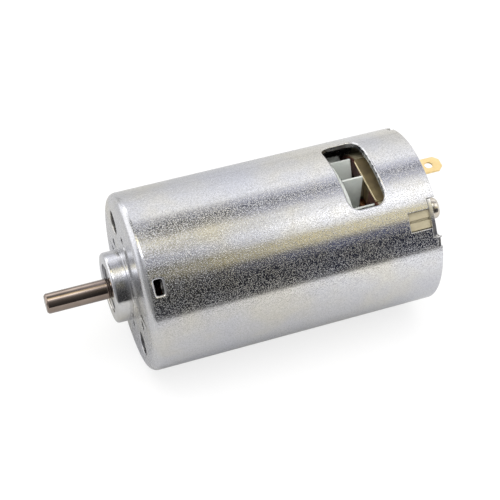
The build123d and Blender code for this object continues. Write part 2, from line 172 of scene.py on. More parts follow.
def plating():
    """Bright zinc plating over drawn steel: a fine sparkling skin with faint blue and straw tints."""
    s = Shader("zinc_plating")
    drift = s.noise(45, 3, 0.6)
    tint = s.ramp(drift, (0.34, (0.64, 0.65, 0.71)), (0.5, (0.67, 0.67, 0.69)), (0.66, (0.71, 0.69, 0.64)))
    dusting = s.noise(2400, 4, 0.7)
    shade = s.ramp(dusting, (0.36, 0.84), (0.6, 1.0))
    s.set(base_color=s.mix(1.0, tint, shade, "MULTIPLY"), metallic=1.0)
    reach = s.node("ShaderNodeVectorMath", operation="LENGTH")
    s.link(s.stretched(0, 1, 1), reach.inputs[0])
    radius = reach.outputs["Value"]
    side = s.remap(radius, (22.1 * MM, 22.24 * MM), (0.3, 1.0))
    # the front wall is satin, and the side and the boss are glossy
    face = s.node("ShaderNodeMath", operation="MULTIPLY_ADD")
    face.inputs[1].default_value = 1.0
    s.link(s.along(-0.6, -0.4), face.inputs[0])
    s.link(s.remap(radius, (21.9 * MM, 22.15 * MM), (0.0, -1.0)), face.inputs[2])
    gloss = s.ramp(s.noise(260, 4, 0.65), (0.3, 0.09), (0.7, 0.15))
    satin = s.ramp(s.noise(900, 3, 0.6), (0.3, 0.24), (0.7, 0.32))
    s.set(roughness=s.mix(face.outputs[0], gloss, satin))
    s.bump(s.ramp(s.noise(4300, 1.0, 0.5), (0.55, 0.0), (0.66, 1.0)), 2.0e-5, side)
    s.bump(s.noise(2600, 1.0, 0.5), 0.8e-5, side)
    s.bump(s.noise(160, 2, 0.5), 2.0e-5, side)
    return s.material


def laminated():
    """Stacked steel sheets, half a millimetre each, with a dark edge between them."""
    s = Shader("lamination_stack")
    wave = s.node("ShaderNodeTexWave", wave_type="BANDS", bands_direction="X")
    wave.inputs["Scale"].default_value = 2 * pi / (20 * 0.5 * MM)
    wave.inputs["Distortion"].default_value = 0.15
    s.link(s.place, wave.inputs["Vector"])
    tone = s.ramp(wave.outputs["Fac"], (0.12, (0.06, 0.06, 0.065)), (0.4, (0.34, 0.34, 0.35)))
    s.set(base_color=s.mix(s.noise(300, 3), tone, (0.2, 0.18, 0.16)), metallic=0.9)
    s.set(roughness=s.ramp(s.noise(700), (0.3, 0.35), (0.7, 0.55)))
    s.bump(wave.outputs["Fac"], 4e-5)
    return s.material


def moulded(name, dark, light, rough=(0.38, 0.55), depth=8e-6):
    """Injection-moulded plastic with a fine spark-eroded texture and slight flow marks."""
    s = finish_of(name, dark, light, 6 * MM, 0.0, rough, 0.16 * MM, depth)
    s.bump(s.noise(90, 2, 0.5), 2.5e-5)
    return s.material


def fan_nylon():
    """Pale grey-green nylon that lets a little light through."""
    s = Shader("fan_nylon")
    s.set(base_color=s.ramp(s.noise(170, 4, 0.6), (0.35, (0.46, 0.485, 0.46)), (0.65, (0.56, 0.585, 0.56))))
    s.set(roughness=s.ramp(s.noise(520, 3), (0.3, 0.4), (0.7, 0.58)), subsurface_weight=0.4, subsurface_scale=0.002)
    s.surface.inputs["Subsurface Radius"].default_value = (1, 1, 1)
    s.bump(s.noise(6000, 3, 0.55), 8e-6)
    s.bump(s.noise(90, 2), 2.5e-5)
    return s.material


def wire_finish():
    """Enamelled copper wire, amber to deep red brown."""
    s = Shader("enamelled_wire")
    s.set(base_color=s.ramp(s.noise(700, 3), (0.3, (0.16, 0.035, 0.012)), (0.7, (0.46, 0.15, 0.045))), metallic=0.75)
    s.set(roughness=s.ramp(s.noise(1500), (0.3, 0.22), (0.7, 0.4)), coat_weight=0.6, coat_roughness=0.12)
    s.bump(s.noise(2500, 2), 1.2e-5)
    return s.material


def turned_steel():
    """Ground and polished shaft steel, with the fine rings that the grinding wheel leaves."""
    s = Shader("ground_shaft")
    rings = s.noise(1 / MM, 3, 0.6, s.stretched(14, 0.15, 0.15))
    s.set(base_color=s.ramp(s.noise(200, 3), (0.3, (0.27, 0.215, 0.185)), (0.7, (0.36, 0.295, 0.255))), metallic=1.0)
    s.set(roughness=s.ramp(rings, (0.3, 0.08), (0.7, 0.14)))
    s.bump(rings, 0.9e-6)
    return s.material


def terminal_brass():
    """Lacquered brass strip, gold outside the can and darker under it, with a painted highlight along its front edge.
    """
    s = Shader("brass_strip")
    golds = (0.3, (0.74, 0.58, 0.30)), (0.52, (0.88, 0.67, 0.33)), (0.75, (0.93, 0.75, 0.42))
    gold = s.ramp(s.noise(220, 4, 0.6), *golds)
    dull = s.ramp(s.noise(300, 4, 0.6), (0.3, (0.36, 0.29, 0.18)), (0.7, (0.56, 0.45, 0.25)))
    # painted highlight: a thin band at the front edge, x 60.94 to 61.02 mm, gets a bright pale gold colour and low
    # roughness
    edge_highlight = s.along(60.94, 61.02)
    # the strip is darker up to x = 68.5 mm, inside the can, and gold from 71 mm on
    s.set(base_color=s.mix(edge_highlight, (1.0, 0.86, 0.56), s.mix(s.along(68.5, 71), dull, gold)), metallic=0.8)
    s.set(roughness=s.mix(edge_highlight, (0.2, 0.2, 0.2), s.ramp(s.noise(600, 3), (0.3, 0.3), (0.7, 0.46))))
    s.bump(s.noise(900, 3, 0.6), 8e-6)
    return s.material


def housing():
    """Moulded brush housing, beige, with painted shade in dark red-brown on its front faces behind the fan."""
    s = Shader("housing_plastic")
    beige = s.ramp(s.noise(160, 4, 0.6), (0.35, (0.28, 0.245, 0.165)), (0.65, (0.37, 0.33, 0.23)))
    # painted shade: the faces in front of x = 61 mm, which lie in shadow behind the fan, get dark red-brown instead of
    # beige
    brown = s.ramp(s.noise(300, 4, 0.6), (0.35, (0.045, 0.014, 0.012)), (0.65, (0.12, 0.04, 0.025)))
    s.set(base_color=s.mix(s.along(61.0, 61.4), brown, beige))
    s.set(roughness=s.ramp(s.noise(520, 3), (0.3, 0.38), (0.7, 0.55)))
    s.bump(s.noise(6000, 3, 0.55), 8e-6)
    s.bump(s.noise(90, 2), 2.5e-5)
    return s.material


# slot: dark tone, light tone, mottle in mm, metallic, roughness range, grain in mm, depth of the grain in metres
plain_finishes = {
    "plated_plate": ((0.60, 0.58, 0.55), (0.74, 0.73, 0.71), 4, 1.0, (0.2, 0.34), 0.5, 1.6e-5),
    "carbon": ((0.02, 0.02, 0.021), (0.07, 0.065, 0.06), 1, 0.2, (0.5, 0.8), 0.2, 2e-5),
    "spring_steel": ((0.36, 0.36, 0.37), (0.6, 0.6, 0.6), 2, 1.0, (0.2, 0.35), 0.3, 5e-6),
    "copper": ((0.5, 0.22, 0.11), (0.82, 0.43, 0.26), 1.6, 1.0, (0.25, 0.45), 0.3, 1e-5),
    "screw_nickel": ((0.52, 0.47, 0.40), (0.74, 0.70, 0.63), 1.5, 1.0, (0.16, 0.3), 0.4, 1.2e-5),
    "ferrite": ((0.035, 0.035, 0.038), (0.1, 0.1, 0.105), 3, 0.1, (0.55, 0.75), 0.25, 2e-5),
    "insulation_fibre": ((0.10, 0.17, 0.10), (0.2, 0.28, 0.17), 2, 0.0, (0.5, 0.75), 0.12, 2e-5),
    "bearing_steel": ((0.45, 0.45, 0.46), (0.66, 0.66, 0.66), 2, 1.0, (0.12, 0.25), 0.6, 5e-6),
    "bearing_shield": ((0.5, 0.5, 0.51), (0.72, 0.72, 0.72), 2, 1.0, (0.3, 0.42), 0.4, 8e-6),
}
finishes = {
    "plated_can": plating(),
    "housing_plastic": housing(),
    "brass": terminal_brass(),
    "shaft_steel": turned_steel(),
    "lamination_steel": laminated(),
    "enamelled_copper": wire_finish(),
    "moulding_compound": moulded("moulding_compound", (0.035, 0.022, 0.016), (0.07, 0.045, 0.03)),
    "fan_plastic": fan_nylon(),
}
for slot, (dark, light, mottle, metallic, rough, grain, depth) in plain_finishes.items():
    made = finish_of(slot, dark, light, mottle * MM, metallic, rough, grain * MM, depth)
    finishes[slot] = made.material


# ---------------------------------------------------------------- mesh helpers
def at(x, radius, angle):
    """A point from its place along the shaft, radius and angle round the shaft, in millimetres and degrees."""
    a = radians(angle)
    return Vector((x, -radius * sin(a), radius * cos(a)))


def piece(name, shape, body, slot, normals=None):
    """Turn a bmesh in millimetres into a smooth-shaded piece that rides on a CAD body.

    normals gives the normal at a point, or zero to leave it to the faces round it."""
    bmesh.ops.remove_doubles(shape, verts=shape.verts, dist=0.002)
    bmesh.ops.dissolve_degenerate(shape, edges=shape.edges, dist=0.001)
    bmesh.ops.recalc_face_normals(shape, faces=shape.faces)
    for face in shape.faces:
        face.smooth = True
    mesh = bpy.data.meshes.new(name)
    shape.to_mesh(mesh)
    shape.free()
    if normals:
        mesh.normals_split_custom_set_from_vertices([normals(v.co) for v in mesh.vertices])
    for v in mesh.vertices:
        v.co *= MM
    mesh.materials.append(finishes[slot])
    made = bpy.data.objects.new(name, mesh)
    bpy.context.scene.collection.objects.link(made)
    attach(made, body)
    return made


def eased(outline, radius, steps=3):
    """A closed outline with each corner rounded a little, so that it catches the light."""
    made = []
    count = len(outline)
    for i, (x, y, *own) in enumerate(outline):
        corner = Vector((x, y))
        before, after = Vector(outline[i - 1][:2]) - corner, Vector(outline[(i + 1) % count][:2]) - corner
        size = min(own[0] if own else radius, 0.42 * before.length, 0.42 * after.length)
        first, last = corner + before.normalized() * size, corner + after.normalized() * size
        for k in range(steps + 1):
            t = k / steps
            made.append(first * (1 - t) ** 2 + corner * 2 * t * (1 - t) + last * t**2)
    return made


def lathe(shape, outline, radius, count=96):
    """Turn a closed (x, radius) outline about the shaft axis, with its corners rounded by a radius."""
    rings = []
    for point in eased(outline, radius):
        if point.y < 1e-6:
            rings.append([shape.verts.new(at(point.x, 0, 0))] * count)
        else:
            rings.append([shape.verts.new(at(point.x, point.y, 360 / count * k)) for k in range(count)])
    for i, ring in enumerate(rings):
        following = rings[(i + 1) % len(rings)]
        for k in range(count):
            corners = []
            for v in (ring[k - 1], ring[k], following[k], following[k - 1]):
                if v not in corners:
                    corners.append(v)
            if len(corners) > 2:
                shape.faces.new(corners)


def bridge(shape, loop, other, closed=True):
    """Join two rows of points that match one to one."""
    one = [shape.verts.new(p) for p in loop]
    two = [shape.verts.new(p) for p in other]
    for k in range(0 if closed else 1, len(one)):
        shape.faces.new((one[k - 1], one[k], two[k], two[k - 1]))


def block(shape, x0, x1, half, r0, r1, angle, ease=0.15):
    """A box that stands radially at an angle round the shaft, with eased edges."""
    made = bmesh.ops.create_cube(shape, size=1)["verts"]
    outward, across = at(0, 1, angle), at(0, 1, angle + 90)
    for v in made:
        x, y, z = v.co
        along, reach = (x0 + x1) / 2 + x * (x1 - x0), (r0 + r1) / 2 + z * (r1 - r0)
        v.co = Vector((along, 0, 0)) + across * (2 * half * y) + outward * reach
    edges = list({e for v in made for e in v.link_edges})
    bmesh.ops.bevel(shape, geom=edges, offset=ease, segments=2, profile=0.5, affect="EDGES")


def weighted(made):
    """Let the large faces of a piece decide its normals, so that they look flat."""
    weigh = made.modifiers.new("weigh", "WEIGHTED_NORMAL")
    weigh.mode = "FACE_AREA"
    weigh.weight = 60


def refined(node, ease, tweak=None):
    """The surface of a CAD node with its facets merged and its sharp edges eased."""
    shape = bmesh.new()
    shape.from_mesh(frame["nodes"][node].data)
    for v in shape.verts:
        v.co /= MM
    bmesh.ops.remove_doubles(shape, verts=shape.verts, dist=0.0005)
    bmesh.ops.dissolve_limit(shape, angle_limit=radians(0.3), verts=shape.verts, edges=shape.edges)
    sharp = [e for e in shape.edges if len(e.link_faces) == 2 and e.calc_face_angle(0) > radians(28)]
    bmesh.ops.bevel(shape, geom=sharp, offset=ease, segments=2, profile=0.5, affect="EDGES", clamp_overlap=False)
    if tweak:
        tweak(shape)
    made = piece(node + "_eased", shape, body_of[node], slot_of[node])
    weighted(made)
    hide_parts(node)


# ---------------------------------------------------------------- can
CAN, BORE, WALL_END, REAR = 22.25, 20.75, 1.8, 73.7
BOSS, SEAT, CORNER, PAD = 8.75, 8.01, 2.0, 0.35
# how far out the front wall is flat inside, where the bore starts, and the roll of the edges inside
WALL_FLAT, INSIDE_START, BORE_ROLL = 20.15, 2.4, 0.1
SEAM, TURN = -100, 2  # degrees: the can is built as one half from here on, and then turned for the other
ANGLES = list(range(SEAM, SEAM + 181, TURN))
PAD_HALF, PAD_CORNER, PAD_TURN, PAD_EDGE = (8.9, 9.3), 1.2, radians(40), 0.07


def outline_of(half_x, half_y, corner, offset, steps=7, runs=6):
    """A rounded rectangle about the origin, grown by offset, with the same number of points whatever its size."""
    made = []
    for quarter, (sx, sy) in enumerate(((1, 1), (-1, 1), (-1, -1), (1, -1))):
        middle = Vector((sx * (half_x - corner), sy * (half_y - corner)))
        turn = [radians(90 * quarter + 90 * i / steps) for i in range(steps + 1)]
        bend = [middle + Vector((cos(a), sin(a))) * (corner + offset) for a in turn]
        if made:
            made += [made[-1].lerp(bend[0], i / runs) for i in range(1, runs)]
        made += bend
    last = made[-1].copy()
    made += [last.lerp(made[0], i / runs) for i in range(1, runs)]
    return made


class Opening:
    """An opening through the can's side or front, with its shape, place and rolled edge."""

    def __init__(self, x, y, half_x, half_y, corner, roll, steps=7, runs=6):
        self.at, self.half, self.corner, self.roll = Vector((x, y)), (half_x, half_y), corner, roll
        self.steps, self.runs = steps, runs

    def loop(self, offset):
        return [p + self.at for p in outline_of(*self.half, self.corner, offset, self.steps, self.runs)]

    def distance(self, x, y):
        dx = abs(x - self.at.x) - self.half[0] + self.corner
        dy = abs(y - self.at.y) - self.half[1] + self.corner
        return hypot(max(dx, 0), max(dy, 0)) + min(max(dx, dy), 0) - self.corner

    def away(self, x, y):
        """The direction straight away from the opening's edge."""
        dx = abs(x - self.at.x) - self.half[0] + self.corner
        dy = abs(y - self.at.y) - self.half[1] + self.corner
        way = Vector((max(dx, 0), max(dy, 0))) if max(dx, dy) > 0 else Vector((dx > dy, dx <= dy))
        way = way.normalized()
        return Vector((way.x if x > self.at.x else -way.x, way.y if y > self.at.y else -way.y))


def roll_steps(roll):
    """(offset from the edge, drop below the surface) pairs along a quarter-round edge, from the surface to the wall."""
    return [(roll * (1 - sin(radians(a))), roll * (1 - cos(radians(a)))) for a in (0, 22.5, 45, 67.5, 90)]


window = Opening(57.3, 0, 4.7, 10.7, 2.75, 0.5, 9, 8)
stop_hole = Opening(3.7, 0, 0.9, 1.8, 0.3, 0.7, 4, 3)
side_openings = [(0, window), (45, stop_hole)]
rim_features = [(-37, 1.2, 72.6, None), (45, 4.8, 71.6, (2.375, 66.1)), (61.5, 1.2, 72.6, None)]


def rim_corners(radius, inset):
    """(x, angle) corners of the can's rear rim from seam to seam, with its notches."""
    path = [(REAR - inset, SEAM)]
    for middle, half, floor, key in rim_features:
        wide = degrees(asin((half + inset) / radius))
        inner = []
        if key:
            narrow = degrees(asin((key[0] + inset) / radius))
            inner = [(floor, narrow), (key[1], narrow)]
        left = [(REAR, wide), (floor, wide), *inner]
        path += [(x - inset, middle - a) for x, a in left]
        path += [(x - inset, middle + a) for x, a in reversed(left)]
    return path + [(REAR - inset, SEAM + 180)]


def rim_path(radius, inset):
    """The rim's corners with points between them, as many at every radius and inset."""
    path, plan = rim_corners(radius, inset), rim_corners(CAN, 0)
    made = [path[0]]
    for i in range(1, len(path)):
        (x0, a0), (x1, a1) = path[i - 1], path[i]
        n = max(1, round(max(abs(plan[i][0] - plan[i - 1][0]), abs(plan[i][1] - plan[i - 1][1]) * 0.39) / 0.75))
        made += [(x0 + (x1 - x0) * k / n, a0 + (a1 - a0) * k / n) for k in range(1, n + 1)]
    return made


def beyond_rim(x, angle, radius):
    """Whether a point of the side lies in one of the rim's notches."""
    return any(
        abs(radius * sin(radians(angle - middle))) < (half if x > floor else key[0] if key else 0)
        and x > (key[1] if key else floor)
        and abs(angle - middle) < 60
        for middle, half, floor, key in rim_features
    )


def fill(shape, rows, grid, to_space, dropped):
    """Triangulate rows of (flat point, space point) with grid points between them, and keep what isn't dropped."""
    flat, space, edges = [], [], []
    for row, closed in rows:
        base = len(flat)
        flat += [Vector(p[0]) for p in row]
        space += [p[1] for p in row]
        edges += [(base + i, base + i + 1) for i in range(len(row) - 1)]
        if closed:
            edges.append((base + len(row) - 1, base))
    tree = kdtree.KDTree(len(flat))
    for i, p in enumerate(flat):
        tree.insert((p.x, p.y, 0), i)
    tree.balance()
    for p, gap in grid:
        if tree.find((p[0], p[1], 0))[2] > gap:
            flat.append(Vector(p))
            space.append(to_space(*p))
    found = delaunay_2d_cdt(flat, edges, [], 0, 1e-5, True)
    verts = []
    for p, origin in zip(found[0], found[3]):
        verts.append(shape.verts.new(space[origin[0]] if origin else to_space(p.x, p.y)))
    for face in found[2]:
        middle = sum((found[0][i] for i in face), Vector((0, 0))) / len(face)
        if not dropped(middle.x, middle.y):
            shape.faces.new([verts[i] for i in face])


def side_sheet(shape, radius, start, outer):
    """Half of the can's side, outside or inside, with rolled edges round its openings and rim."""
    sign = -1 if outer else 1
    rows, edges_out = [], []

    def spot(x, angle, drop=0.0):
        return at(x, radius + sign * drop, angle)

    def flat(x, angle):
        return (x, radius * radians(angle))

    for middle, opening in side_openings:
        roll = opening.roll if outer else BORE_ROLL
        for offset, drop in roll_steps(roll):
            row = []
            for p in opening.loop(offset):
                angle = middle + degrees(asin(p.y / (radius + sign * drop)))
                row.append((flat(p.x, middle + degrees(asin(p.y / radius))), spot(p.x, angle, drop)))
            rows.append((row, True))
        edges_out.append([p[1] for p in row])
    rim_roll = 0.2 if outer else BORE_ROLL
    for offset, drop in roll_steps(rim_roll):
        row = [(flat(x, a), spot(x, a, drop)) for x, a in rim_path(radius, offset)]
        rows.append((row, False))
    edges_out.append([p[1] for p in row])
    rows.append(([(flat(start, a), spot(start, a)) for a in ANGLES], False))
    steps = int((REAR - 1 - start) / 2)
    for i in range(1, steps + 1):
        x = start + 2.0 * i
        rows += [([(flat(x, a), spot(x, a))], False) for a in (SEAM, SEAM + 180)]
    grid = [(flat(start + 2.0 * i, a), 0.5) for i in range(1, steps + 1) for a in ANGLES[1:-1]]
    grid += [(flat(start + 0.7, a), 0.5) for a in ANGLES[1:-1]]

    def gone(x, s):
        angle = degrees(s / radius)
        inside = any(
            abs(angle - middle) < 60 and opening.distance(x, radius * sin(radians(angle - middle))) < 0
            for middle, opening in side_openings
        )
        return inside or beyond_rim(x, angle, radius)

    fill(shape, rows, grid, lambda x, s: spot(x, degrees(s / radius)), gone)
    return edges_out


def polar_place(radius, angle):
    a = radians(angle)
    return -radius * sin(a), radius * cos(a)


vent = Opening(*polar_place(15.15, -50), 3.0, 3.0, 2.999, 0.25, 12, 1)
screw_hole = Opening(*polar_place(12.5, -84), 1.25, 1.25, 1.249, 0.14, 8, 1)
register = Opening(*polar_place(12.5, -16), 0.95, 0.95, 0.949, 0.1, 7, 1)
front_openings = [vent, screw_hole, register]


def pad_distance(y, z):
    """How far a point of the front face is outside the square pad."""
    along, across = z * cos(PAD_TURN) - y * sin(PAD_TURN), y * cos(PAD_TURN) + z * sin(PAD_TURN)
    dx, dy = abs(across) - PAD_HALF[0] + PAD_CORNER, abs(along) - PAD_HALF[1] + PAD_CORNER
    return hypot(max(dx, 0), max(dy, 0)) + min(max(dx, dy), 0) - PAD_CORNER


def seam_crossing(offset, y, z):
    """Where a line at an offset from the pad's outline meets the seam on the side of a point."""
    angle = SEAM if degrees_round(y, z) < SEAM + 90 else SEAM + 180
    low, high = BOSS, 14.0
    for _ in range(40):
        middle = (low + high) / 2
        if pad_distance(*polar_place(middle, angle)) < offset:
            low = middle
        else:
            high = middle
    return polar_place(high, angle)


def front_sheet(shape, inner, outer, x, is_front):
    """Half of the can's front wall, outside or inside."""
    rows, edges_out = [], []

    def height(y, z):
        if not is_front:
            return x
        t = min(max((pad_distance(y, z) + PAD_EDGE) / (2 * PAD_EDGE), 0), 1)
        return x - PAD * (1 - t * t * (3 - 2 * t))

    def spot(y, z, drop=0.0):
        return Vector((height(y, z) + (drop if is_front else -drop), y, z))

    for opening in front_openings:
        roll = opening.roll if is_front else 0.06
        for offset, drop in roll_steps(roll):
            row = [((p.x, p.y), spot(p.x, p.y, drop)) for p in opening.loop(offset)]
            rows.append((row, True))
        edges_out.append([p[1] for p in row])
    for radius in (inner, inner + 0.05, outer - 0.3, outer):
        row = [polar_place(radius, a) for a in ANGLES]
        rows.append(([(p, spot(*p)) for p in row], False))
    if is_front:
        for offset in (-PAD_EDGE, -PAD_EDGE / 2, 0, PAD_EDGE / 2, PAD_EDGE, 0.15):
            outline = outline_of(*PAD_HALF, PAD_CORNER, offset, 7, 24)
            c, s = cos(PAD_TURN), sin(PAD_TURN)
            row = [(p.x * c - p.y * s, p.x * s + p.y * c) for p in outline]
            inside = [SEAM + 1 < degrees_round(*p) < SEAM + 179 for p in row]
            run, before = [], inside[-1]
            for p, keep in zip(row + row[:1], inside + inside[:1]):
                if keep != before:
                    end = seam_crossing(offset, *(p if keep else run[-1][0]))
                    run.append((end, spot(*end)))
                if keep:
                    run.append((p, spot(*p)))
                elif run:
                    rows.append((run, False))
                    run = []
                before = keep
            if run:
                rows.append((run, False))
    lines = [r for r in (9.6, 11.0, 12.5, 14.0, 15.5, 17.0, 18.5, 19.4) if inner < r < outer - 0.3]
    for radius in lines:
        rows += [([(polar_place(radius, a), spot(*polar_place(radius, a)))], False) for a in (SEAM, SEAM + 180)]
    grid = [(polar_place(r, a), 0.35) for r in lines for a in ANGLES[2:-2:2]]

    def gone(y, z):
        r = hypot(y, z)
        return r < inner * cos(radians(TURN / 2)) * 1.00001 or any(o.distance(y, z) < 0 for o in front_openings)

    fill(shape, rows, grid, spot, gone)
    return edges_out


def degrees_round(y, z):
    """The angle round the shaft of a point of the front face, from the seam on."""
    angle = degrees(atan2(-y, z))
    return angle + 360 if angle < SEAM else angle


def build_can():
    """The whole can: two sheets each for its side and front, joined round every opening, with its stops and stakes."""
    shape = bmesh.new()
    outside = side_sheet(shape, CAN, CORNER, True)
    inside = side_sheet(shape, BORE, INSIDE_START, False)
    for loop, other in zip(outside[:-1], inside[:-1]):
        bridge(shape, loop, other)
    bridge(shape, outside[-1], inside[-1], closed=False)
    front = front_sheet(shape, BOSS, CAN - CORNER, 0.0, True)
    back = front_sheet(shape, SEAT, WALL_FLAT, WALL_END, False)
    for loop, other in zip(front, back):
        bridge(shape, loop, other)
    profile = [(CORNER * (1 - sin(radians(a))), CAN - CORNER * (1 - cos(radians(a)))) for a in range(0, 91, 9)]
    runs = [profile, [(WALL_END, WALL_FLAT), (1.88, 20.45), (2.1, 20.67), (INSIDE_START, BORE)]]
    boss = [(-PAD, BOSS), (-0.42, BOSS), (-0.72, BOSS), (-0.78, 8.69), (-0.86, 8.66), (-0.94, 8.69), (-1.0, BOSS)]
    boss += [(-1.1, BOSS), (-4.1, BOSS)]
    boss += [(-4.2 - 0.8 * sin(radians(a)), 7.95 + 0.8 * cos(radians(a))) for a in range(0, 91, 10)]
    boss += [(-5.0, 6.25), (-4.97, 6.12), (-4.9, 6.03), (-4.8, 6.0), (-4.25, 6.0), (-4.2, 6.05), (-4.2, 7.9)]
    boss += [(-4.15, SEAT), (WALL_END - 0.15, SEAT), (WALL_END - 0.05, SEAT), (WALL_END, SEAT)]
    runs.append(boss)
    for run in runs:
        for (x0, r0), (x1, r1) in zip(run, run[1:]):
            bridge(shape, [at(x0, r0, a) for a in ANGLES], [at(x1, r1, a) for a in ANGLES], closed=False)
    block(shape, 4.6, 5.3, 1.6, 19.65, 21.1, 45, 0.12)
    for angle in (61.5, -37):
        block(shape, 72.65, 73.5, 1.1, 19.85, 21.3, angle, 0.16)
    other = bmesh.ops.duplicate(shape, geom=shape.verts[:] + shape.edges[:] + shape.faces[:])["geom"]
    for v in other:
        if isinstance(v, bmesh.types.BMVert):
            v.co.y, v.co.z = -v.co.y, -v.co.z
    return shape


def rolled(facing, away, distance, roll):
    """The normal on a quarter-round edge, at a distance from the opening that it turns into."""
    lean = 1 - min(max(distance / roll, 0), 1)
    return facing * (1 - lean**2) ** 0.5 - away * lean


def can_normal(p):
    """The exact normal on a plain cylinder, plane or rolled edge, and zero where it is to be worked out."""
    r = hypot(p.y, p.z)
    radial = Vector((0, p.y, p.z)) / max(r, 1e-6)
    if abs(r - CAN) < 0.0015 and p.x > 1.99:
        return radial
    if abs(r - BOSS) < 0.0015 and (-4.15 < p.x < -1.05 or -0.73 < p.x < -0.4):
        return radial
    if p.x > 1.99 and r > BORE - 0.01:
        for middle, opening in side_openings:
            turn = (degrees(atan2(-p.y, p.z)) - middle + 90) % 180 - 90
            y = r * sin(radians(turn))
            distance = opening.distance(p.x, y)
            outside = r > CAN - opening.roll - 0.01
            roll = opening.roll if outside else BORE_ROLL
            if -0.02 < distance < roll + 0.001 and (outside or r < BORE + 0.11):
                away = opening.away(p.x, y)
                way = Vector((away.x, 0, 0)) + Vector((0, -radial.z, radial.y)) * away.y
                return rolled(radial if outside else -radial, way, distance, roll)
    if abs(p.x) < 0.0005 and r < CAN - CORNER + 0.01 and pad_distance(p.y, p.z) > 0.06:
        return Vector((-1, 0, 0))
    if abs(p.x + PAD) < 0.0005 and r > BOSS + 0.03 and pad_distance(p.y, p.z) < -0.06:
        return Vector((-1, 0, 0))
    if -PAD - 0.01 < p.x < 0.3:
        for opening in front_openings:
            for sign in (1, -1):
                y, z = sign * p.y, sign * p.z
                distance = opening.distance(y, z)
                if -0.02 < distance < opening.roll + 0.001:
                    away = opening.away(y, z) * sign
                    return rolled(Vector((-1, 0, 0)), Vector((0, away.x, away.y)), distance, opening.roll)
    return Vector((0, 0, 0))


can = piece("can_shell", build_can(), "stator", "plated_can", can_normal)
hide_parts("motor_can")

# ---------------------------------------------------------------- shaft
shape = bmesh.new()
lathe(
    shape,
    [(-20.5, 0, 0), (-20.5, 2.05), (-20.08, 2.5, 0.2), (-4.9, 2.5), (-4.9, 2.3), (-4.3, 2.3), (-4.3, 2.5)]
    + [(74.9, 2.5), (75.3, 2.1), (75.3, 0, 0)],
    0.05,
)
shaft = piece("output_shaft", shape, "rotor", "shaft_steel")
weighted(shaft)
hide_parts("shaft")

# ---------------------------------------------------------------- parts eased from their CAD surface
body_of = {node: body for body, nodes in frame["record"]["behaviour"]["bodies"].items() for node in nodes}
ease_of = {
    "end_plate": 0.12,
    "brush_housing": 0.1,
    "brush_tube_top": 0.06,
    "brush_tube_bottom": 0.06,
    "carbon_brush_top": 0.1,
    "carbon_brush_bottom": 0.1,
    "terminal_top": 0.16,
    "terminal_bottom": 0.16,
    "end_screws": 0.07,
    "spring_washers": 0.08,
    "magnet_top": 0.2,
    "magnet_bottom": 0.2,
    "magnet_clip_near": 0.1,
    "magnet_clip_far": 0.1,
    "armature_core": 0.06,
    "front_insulator": 0.08,
    "rear_insulator": 0.08,
    "commutator_bars": 0.06,
    "cooling_fan": 0.14,
}


BLADES, BLADE_ROOT, BLADE_LENGTH, TIP_SLIMMING = 14, 8.5, 9.9, 0.45


def slim_blades(shape):
    """Thin the fan's blades towards their tips, as they are drawn out of the mould."""
    pitch = 360 / BLADES
    for v in shape.verts:
        r, angle = hypot(v.co.y, v.co.z), degrees(atan2(-v.co.y, v.co.z))
        middle = pitch * round(angle / pitch)
        across = r * sin(radians(angle - middle))
        if r > BLADE_ROOT and v.co.x > 54.7 and abs(across) < 0.6:
            slim = across * (1 - TIP_SLIMMING * (r - BLADE_ROOT) / BLADE_LENGTH)
            flat = at(v.co.x, (r**2 - slim**2) ** 0.5, middle)
            v.co = flat + (at(0, 1, middle + 90)) * slim


for node, ease in ease_of.items():
    refined(node, ease, tweak=slim_blades if node == "cooling_fan" else None)

# ---------------------------------------------------------------- brush springs and leads
def wire(shape, path, radius, ring=10):
    """A round wire along a path, closed at both ends."""
    loops = []
    for k, p in enumerate(path):
        way = (path[min(k + 1, len(path) - 1)] - path[max(k - 1, 0)]).normalized()
        side = way.cross(Vector((0, 0, 1))).normalized()
        other = way.cross(side)
        turns = [2 * pi * i / ring for i in range(ring)]
        loops.append([shape.verts.new(p + (side * cos(a) + other * sin(a)) * radius) for a in turns])
    for one, two in zip(loops, loops[1:]):
        for i in range(ring):
            shape.faces.new((one[i - 1], one[i], two[i], two[i - 1]))
    shape.faces.new(loops[0][::-1])
    shape.faces.new(loops[-1])


def helix(radius, turns, low, high, flat, side, start=0.0, steps=30):
    """Points of a coil along the brush, with part of a turn lying flat at each end."""
    points = []
    for k in range(round(turns * steps) + 1):
        turn = k / steps
        rise = min(max((turn - flat) / (turns - 2 * flat), 0), 1)
        a = 2 * pi * turn + start
        points.append(Vector((BRUSH_X + radius * cos(a), radius * sin(a), side * (low + rise * (high - low)))))
    return points


BRUSH_X, BRUSH_TOP, TERMINAL_FOOT = 65.7, 12.4, 15.9
SPRING_RADIUS, SPRING_TURNS, SPRING_WIRE, SPRING_GAP = 1.5, 4, 0.16, 0.2
STRANDS, STRAND_CIRCLE, STRAND_RADIUS, STRAND_TURNS = 3, 0.24, 0.2, 1.5
for name, side in (("top", 1), ("bottom", -1)):
    shape = bmesh.new()
    low, high = BRUSH_TOP + SPRING_GAP, TERMINAL_FOOT - SPRING_GAP
    wire(shape, helix(SPRING_RADIUS, SPRING_TURNS, low, high, 0.5, side), SPRING_WIRE)
    node = "brush_spring_" + name
    spring = piece("brush_coil_" + name, shape, body_of[node], slot_of[node])
    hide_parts(node)
    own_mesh(spring)
    shape = bmesh.new()
    low, high = BRUSH_TOP + 0.02, TERMINAL_FOOT - 0.02
    for strand in range(STRANDS):
        start = strand * 2 * pi / STRANDS
        wire(shape, helix(STRAND_CIRCLE, STRAND_TURNS, low, high, 0, side, start), STRAND_RADIUS, 8)
    node = "brush_pigtail_" + name
    lead = piece("brush_lead_" + name, shape, body_of[node], slot_of[node])
    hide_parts(node)
    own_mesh(lead)

